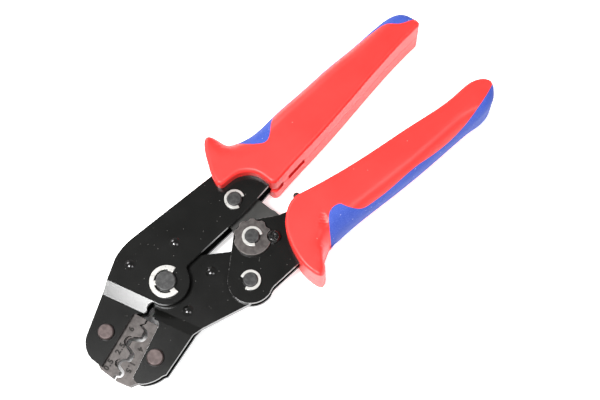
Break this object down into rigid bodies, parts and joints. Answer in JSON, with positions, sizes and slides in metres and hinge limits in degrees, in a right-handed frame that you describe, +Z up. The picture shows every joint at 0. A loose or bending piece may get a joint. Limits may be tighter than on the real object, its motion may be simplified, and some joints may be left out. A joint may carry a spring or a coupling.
{
  "type": "ratchet crimping pliers",
  "caption": "Ratchet toggle crimping pliers: stepped steel jaws with toothed wire-terminal dies, adjusting wheel, release pawl and two-tone moulded grips.",
  "frame": {"origin": "axis of the main pivot pin, in the plane the grips' backs rest on", "axes": "+X from the jaws to the handles, +Y towards the fixed handle, +Z up through the plates to the side with the adjusting wheel"},
  "size_m": [0.1903, 0.073, 0.0208],
  "materials": {
    "black_plate": "semi-matte black oxide over pressed steel",
    "dark_steel": "dark grey, fine ground",
    "bright_nickel": "bright nickel",
    "brown_oxide": "brown-grey oxide",
    "pin_steel": "turned grey steel",
    "red_plastic": "semi-matte red moulding",
    "blue_rubber": "matte blue soft moulding"
  },
  "bodies": {
    "frame": {"frame_plate_front": "black_plate", "frame_plate_back": "black_plate", "frame_rivets": "black_plate", "frame_dowels": "pin_steel", "frame_spacers": "pin_steel", "fixed_grip_front": "red_plastic", "fixed_grip_back": "red_plastic", "fixed_grip_pad": "blue_rubber", "die_fixed": "brown_oxide", "die_pin_fixed": "brown_oxide", "die_nut_fixed": "brown_oxide", "spring_pin": "pin_steel", "return_spring": "pin_steel"},
    "main_pin": {"main_pin": "pin_steel", "main_clip": "bright_nickel", "pivot_washers": "pin_steel"},
    "jaw": {"jaw_plate_front": "black_plate", "jaw_plate_back": "black_plate", "jaw_rivets": "black_plate", "die_moving": "brown_oxide", "die_pin_moving": "brown_oxide", "die_nut_moving": "brown_oxide"},
    "jaw_pin": {"jaw_pin": "pin_steel", "jaw_pin_clip": "bright_nickel"},
    "handle": {"handle_plate_front": "black_plate", "handle_plate_back": "black_plate", "handle_spacers": "pin_steel", "handle_rivets": "pin_steel", "adjuster_pin": "pin_steel", "adjuster_wheel": "brown_oxide", "adjuster_clip": "bright_nickel", "lock_screw": "black_plate", "pawl_pin": "pin_steel", "pawl_spring": "pin_steel", "moving_grip_front": "red_plastic", "moving_grip_back": "red_plastic", "moving_grip_pad": "blue_rubber"},
    "link_pin": {"link_pin": "pin_steel", "link_pin_clip": "bright_nickel", "link_washers": "pin_steel"},
    "link": {"toggle_link": "dark_steel", "spring_hook": "pin_steel"},
    "pawl": {"pawl": "dark_steel"}
  },
  "joints": [
    {"name": "jaw_close", "type": "hinge", "parent": "frame", "child": "main_pin", "pos_m": [0, 0, 0.0104], "axis": [0, 0, 1], "range_deg": [-1.71, 0]},
    {"name": "jaw_open", "type": "hinge", "parent": "main_pin", "child": "jaw", "pos_m": [0, 0, 0.0104], "axis": [0, 0, 1], "range_deg": [0, 10.01]},
    {"name": "handle_squeeze", "type": "hinge", "parent": "jaw", "child": "jaw_pin", "pos_m": [0.0256, -0.02, 0.0104], "axis": [0, 0, 1], "range_deg": [0, 14.92]},
    {"name": "handle_open", "type": "hinge", "parent": "jaw_pin", "child": "handle", "pos_m": [0.0256, -0.02, 0.0104], "axis": [0, 0, 1], "range_deg": [-31.53, 0]},
    {"name": "link_close", "type": "hinge", "parent": "frame", "child": "link_pin", "pos_m": [0.0409, 0.0092, 0.0104], "axis": [0, 0, 1], "range_deg": [-13.94, 0]},
    {"name": "link_open", "type": "hinge", "parent": "link_pin", "child": "link", "pos_m": [0.0409, 0.0092, 0.0104], "axis": [0, 0, 1], "range_deg": [0, 23.92]},
    {"name": "pawl_release", "type": "hinge", "parent": "handle", "child": "pawl", "pos_m": [0.0578, -0.0128, 0.0104], "axis": [0, 0, 1], "range_deg": [-8, 8], "stiffness_Nm_per_rad": 0.02}
  ],
  "couplings": [
    {"joint": "jaw_close", "follows": "handle_squeeze", "ratio": -0.1141},
    {"joint": "link_close", "follows": "handle_squeeze", "ratio": -0.9339},
    {"joint": "jaw_open", "follows": "handle_open", "ratio": -0.3172},
    {"joint": "link_open", "follows": "handle_open", "ratio": -0.7583}
  ]
}
